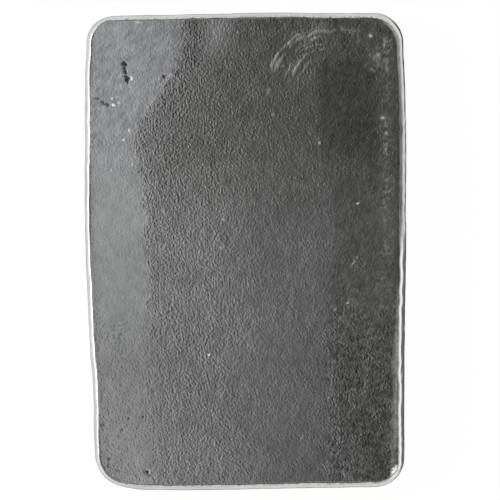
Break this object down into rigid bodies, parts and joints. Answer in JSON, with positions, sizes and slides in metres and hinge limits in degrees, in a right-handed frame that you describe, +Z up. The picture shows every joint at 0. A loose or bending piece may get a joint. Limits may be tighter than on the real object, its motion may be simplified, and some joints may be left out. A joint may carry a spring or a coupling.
{
  "type": "metal ingot",
  "caption": "Flat cast bar of silver metal with drafted walls, rounded corners, a dimpled mould face and a slightly sunken poured face.",
  "frame": {"origin": "on the floor under the middle of the bounding box; the bar lies on the land of its poured face", "axes": "+X across the bar, +Y towards its wide end, +Z up, out of the mould face"},
  "size_m": [0.067, 0.0995, 0.0154],
  "materials": {
    "cast_skin": "satin"
  },
  "bodies": {
    "root": {"ingot": "cast_skin"}
  },
  "joints": []
}
